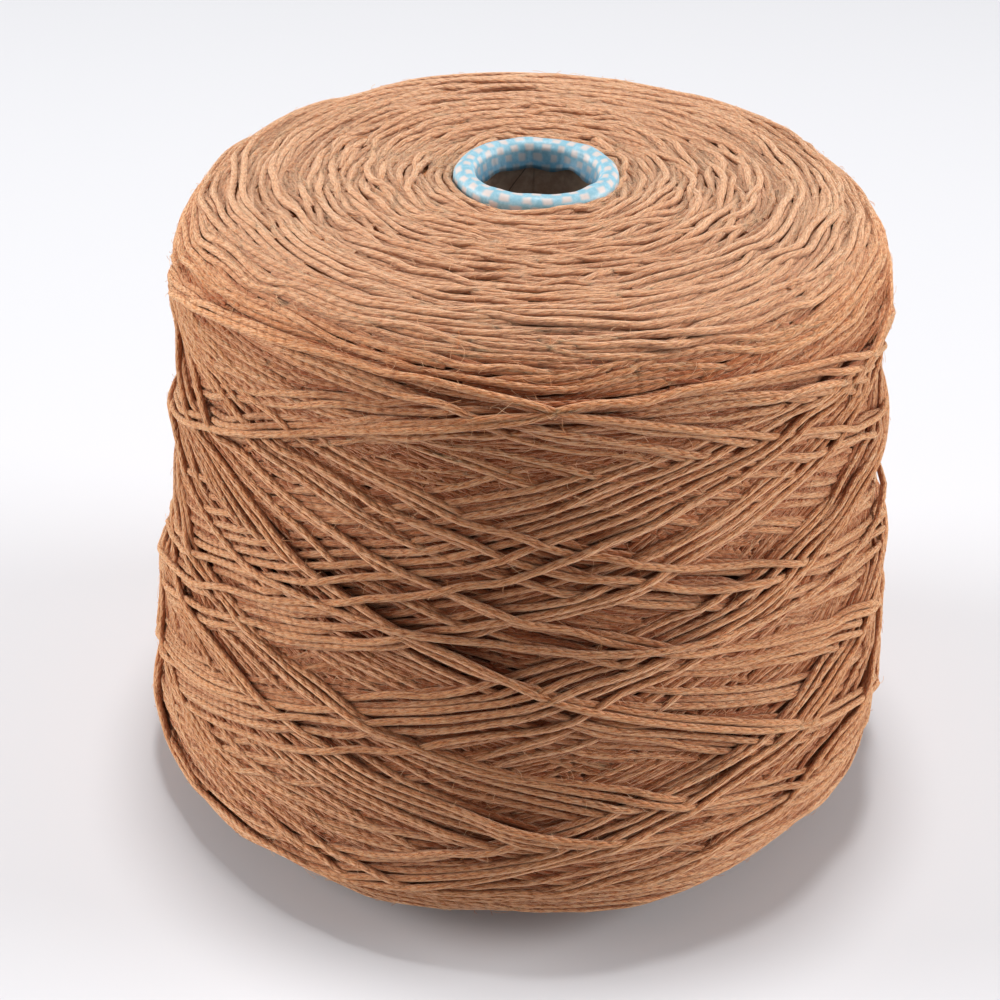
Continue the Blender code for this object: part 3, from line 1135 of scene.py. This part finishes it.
def nosePaper(finish):
    look = noseLook
    chance = np.random.default_rng(5)
    throat = look["rollCentre"] - look["rollRadius"]
    # up from the tucked end, over the rolled rim and down the outside: radius, height, how pleated
    line = [
        (throat - share * look["tuck"], look["innerEnd"] + over, pleated)
        for share, over, pleated in look["tucked"]
    ]
    for turn in np.linspace(math.pi, 0.0, 21):
        radius = look["rollCentre"] + look["rollRadius"] * math.cos(turn)
        height = look["rollHeight"] + look["rollRadius"] * math.sin(turn)
        line.append((radius, height, 0.4 * max(0.0, math.cos(math.pi - turn)) ** 2))
    for share in (0.25, 0.5, 0.75, 1.0):
        height = look["rollHeight"] + (look["outerEnd"] - look["rollHeight"]) * share
        reach = look["rollCentre"] + look["rollRadius"] + (look["rollHeight"] - height) * look["taper"]
        line.append((reach, height, 0.0))
    line = np.array(line)
    along = distances(np.hypot(*np.diff(line[:, :2], axis=0).T))
    slope = np.gradient(line[:, :2], axis=0)
    slope /= np.linalg.norm(slope, axis=1)[:, None]
    angles = np.linspace(0.0, fullTurn, look["columns"], endpoint=False)
    pleats = roundNoise(chance, angles, (41, 53, 62, 71, 29))
    lumps = roundNoise(chance, angles, (3, 5, 8, 13))
    hem = roundNoise(chance, angles, (2, 4, 7, 9))
    uneven, hemWidth = look["hem"]
    nodFrom, nodOver = look["nodHeights"]
    rows = list(range(len(line)))
    rings, places = [], []
    for row, face in [(row, 0.0) for row in rows] + [(row, look["paper"]) for row in rows[::-1]]:
        radius, height, pleated = line[row]
        out = look["pleatDepth"] * pleats * pleated + look["lumps"] * lumps * (pleated < 0.3) - face
        reach = radius - out * slope[row, 1]
        x, y = reach * np.cos(angles), reach * np.sin(angles)
        z = height + out * slope[row, 0] + uneven * hem * max(0.0, 1.0 - along[row] / hemWidth)
        z = z + look["nod"] * y * min(1.0, max(0.0, (height - nodFrom) / nodOver))
        rings.append(np.stack([x + coneLook["aside"] * z, y, z], -1))
        places.append(along[row] / look["rowPitch"] + look["firstRow"])
    return ringMesh("nosePaper", rings, finish, places)


def noseFinish():
    look = noseLook
    finish, bench = newFinish("checkedPaper")
    u, v, _ = bench.split(bench.add("ShaderNodeUVMap", {"uv_map": "UVMap"}))
    spot = bench.objectPlace()
    u = u * look["squaresRound"] + (bench.noise(spot, 160.0) - 0.5) * 0.55
    v = v + (bench.noise(spot, 230.0) - 0.5) * 0.6
    # every second row of squares is shifted by half a step
    offset = bench.maths("FLOORED_MODULO", bench.maths("FLOOR", v), 2.0) * 0.5
    wide = bench.maths("ABSOLUTE", bench.maths("FRACT", u + offset) - 0.5)
    tall = bench.maths("ABSOLUTE", bench.maths("FRACT", v) - 0.5)
    square = bench.step(wide, look["squareWide"] + 0.1, look["squareWide"] - 0.1)
    square = square * bench.step(tall, look["squareTall"] + 0.12, look["squareTall"] - 0.16)
    mottle = bench.noise(spot, 620.0, 3.0, 0.7)
    blue = bench.mixColours(bench.step(mottle, 0.4, 0.7) * 0.5, look["blue"], look["rubbedBlue"])
    cream = bench.mixColours(bench.step(mottle, 0.45, 0.7) * 0.4, look["cream"], look["rubbedCream"])
    colour = bench.mixColours(square * look["print"], blue, cream)
    inside = bench.step(v, 2.8, 0.7)
    colour = bench.mixColours(inside * 0.7, colour, look["shade"], "MULTIPLY")
    crease = bench.noise(bench.join(u * 2.2, v * 0.35, 0.0), 1.4, 2.0, 0.6)
    bump = bench.add("ShaderNodeBump", None, {"Strength": 0.35, "Distance": 0.25 * mm, "Height": crease})
    closeFinish(bench, {
        "Base Color": colour, "Roughness": 0.48, "Normal": bump,
        "Coat Weight": 0.06, "Coat Roughness": 0.3,
    })
    return finish


def coneBoard(finish):
    look = coneLook
    angles = look["lapAngle"] + np.linspace(0.0, fullTurn, look["columns"])
    heights = np.linspace(0.0, look["top"], 9)

    def ring(height, out):
        reach = look["innerFoot"] + (look["innerTop"] - look["innerFoot"]) * height / look["top"] + out
        x, y = reach * np.cos(angles) + look["aside"] * height, reach * np.sin(angles)
        return np.stack([x, y, np.full(len(angles), height)], -1)

    # inside, the board winds outwards from its lap
    lap = -look["lap"] * (1.0 - np.linspace(0.0, 1.0, look["columns"]))
    rings = [ring(height, lap) for height in heights]
    rings += [ring(height, look["board"]) for height in heights[::-1]]
    return ringMesh("coneBoard", rings, finish)


def boardFinish():
    look = coneLook
    finish, bench = newFinish("greyBoard")
    where = bench.objectPlace()
    x, y, z = bench.split(where)
    grain = bench.noise(where, 420.0, 4.0, 0.65)
    cloud = bench.noise(where, 60.0)
    angle = bench.maths("ARCTAN2", y, x) * (180.0 / math.pi)
    # a crease runs down the board beside the lap, and painted light makes the board paler round to the
    # right
    crease = angle - 100.4 - (0.1607 - z) / mm * 2.2 + (grain - 0.5) * 2.0
    crease = bench.maths("ABSOLUTE", crease)
    colour = bench.mixColours(bench.step(grain, 0.35, 0.7), look["grey"], look["pale"])
    colour = bench.mixColours(bench.step(cloud, 0.4, 0.7) * 0.4, colour, look["cloud"])
    colour = bench.mixColours(bench.step(angle, 62.0, 40.0) * 0.6, colour, look["paintedSideLight"])
    colour = bench.mixColours(bench.step(crease, 0.9, 0.2) * 0.75, colour, look["seam"])
    bump = bench.add("ShaderNodeBump", None, {"Strength": 0.3, "Distance": 0.1 * mm, "Height": grain})
    closeFinish(bench, {"Base Color": colour, "Roughness": 0.85, "Normal": bump})
    return finish


aimCamera()
buildStudio()
yarnPieces = windTurns(yarnFinish())
yarnPieces.append(bedOfYarn(bedFinish()))
yarnPieces.append(flyaways(fuzzFinish()))
for piece in yarnPieces:
    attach(piece, "root")
    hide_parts("wound_yarn")
for piece, node, slot in (
    (nosePaper(noseFinish()), "nose_wrap", "printed_paper"),
    (coneBoard(boardFinish()), "paper_cone", "board"),
):
    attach(piece, "root")
    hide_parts(node)
    print("cone of yarn:", piece.name, len(piece.data.polygons), "faces")
